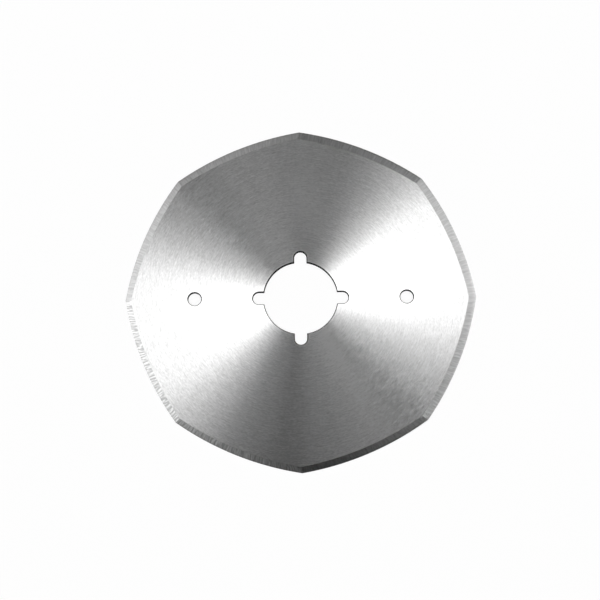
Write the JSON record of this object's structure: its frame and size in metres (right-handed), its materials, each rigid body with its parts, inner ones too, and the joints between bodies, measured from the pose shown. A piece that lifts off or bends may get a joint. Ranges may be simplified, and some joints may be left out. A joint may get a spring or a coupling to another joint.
{
  "type": "rotary cutter blade",
  "caption": "Flat ground steel cutter disc with a faceted, bowed cutting edge, single-side bevels mitred at the corners, a notched spindle bore and small pin holes.",
  "frame": {"origin": "centre of the bore on the flat back face", "axes": "+Z along the spindle axis, out of the bevelled upper face; +X from the bore towards one pin hole and one corner of the outline"},
  "size_m": [0.1, 0.1, 0.001],
  "materials": {
    "ground_steel": "fine concentric brushing on the flats, grind lines across the bevels"
  },
  "bodies": {
    "root": {"blade": "ground_steel"}
  },
  "joints": []
}
